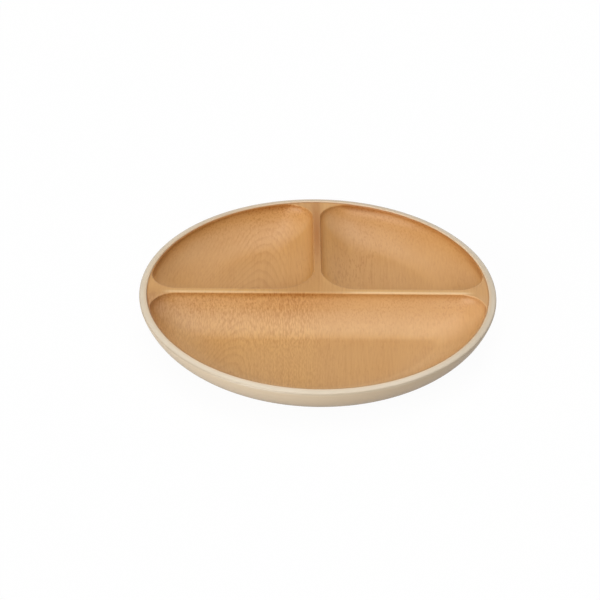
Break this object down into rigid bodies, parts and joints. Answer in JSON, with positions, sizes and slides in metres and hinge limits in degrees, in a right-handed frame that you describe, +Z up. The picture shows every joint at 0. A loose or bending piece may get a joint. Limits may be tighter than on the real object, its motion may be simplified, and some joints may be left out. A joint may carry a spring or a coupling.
{
  "type": "lunch plate",
  "caption": "Round divided lunch plate: a wooden tray with rounded wells and a T-shaped divider, bonded into a cream shell that stands on a foot ring.",
  "frame": {"origin": "centre of the circle that the foot ring stands on, at the level of the table", "axes": "+Z up out of the wells, +X along the main divider to the right in the picture, +Y towards the two rear wells"},
  "size_m": [0.24, 0.24, 0.027],
  "materials": {
    "cream_shell": "satin",
    "tray_wood": "satin varnish",
    "sealant": "matte",
    "adhesive": "cured, matte"
  },
  "bodies": {
    "root": {"outer_shell": "cream_shell", "wood_tray": "tray_wood", "rim_seal_bead": "sealant", "floor_bond_pad_front": "adhesive", "floor_bond_pad_rear_right": "adhesive", "floor_bond_pad_rear_left": "adhesive"}
  },
  "joints": []
}
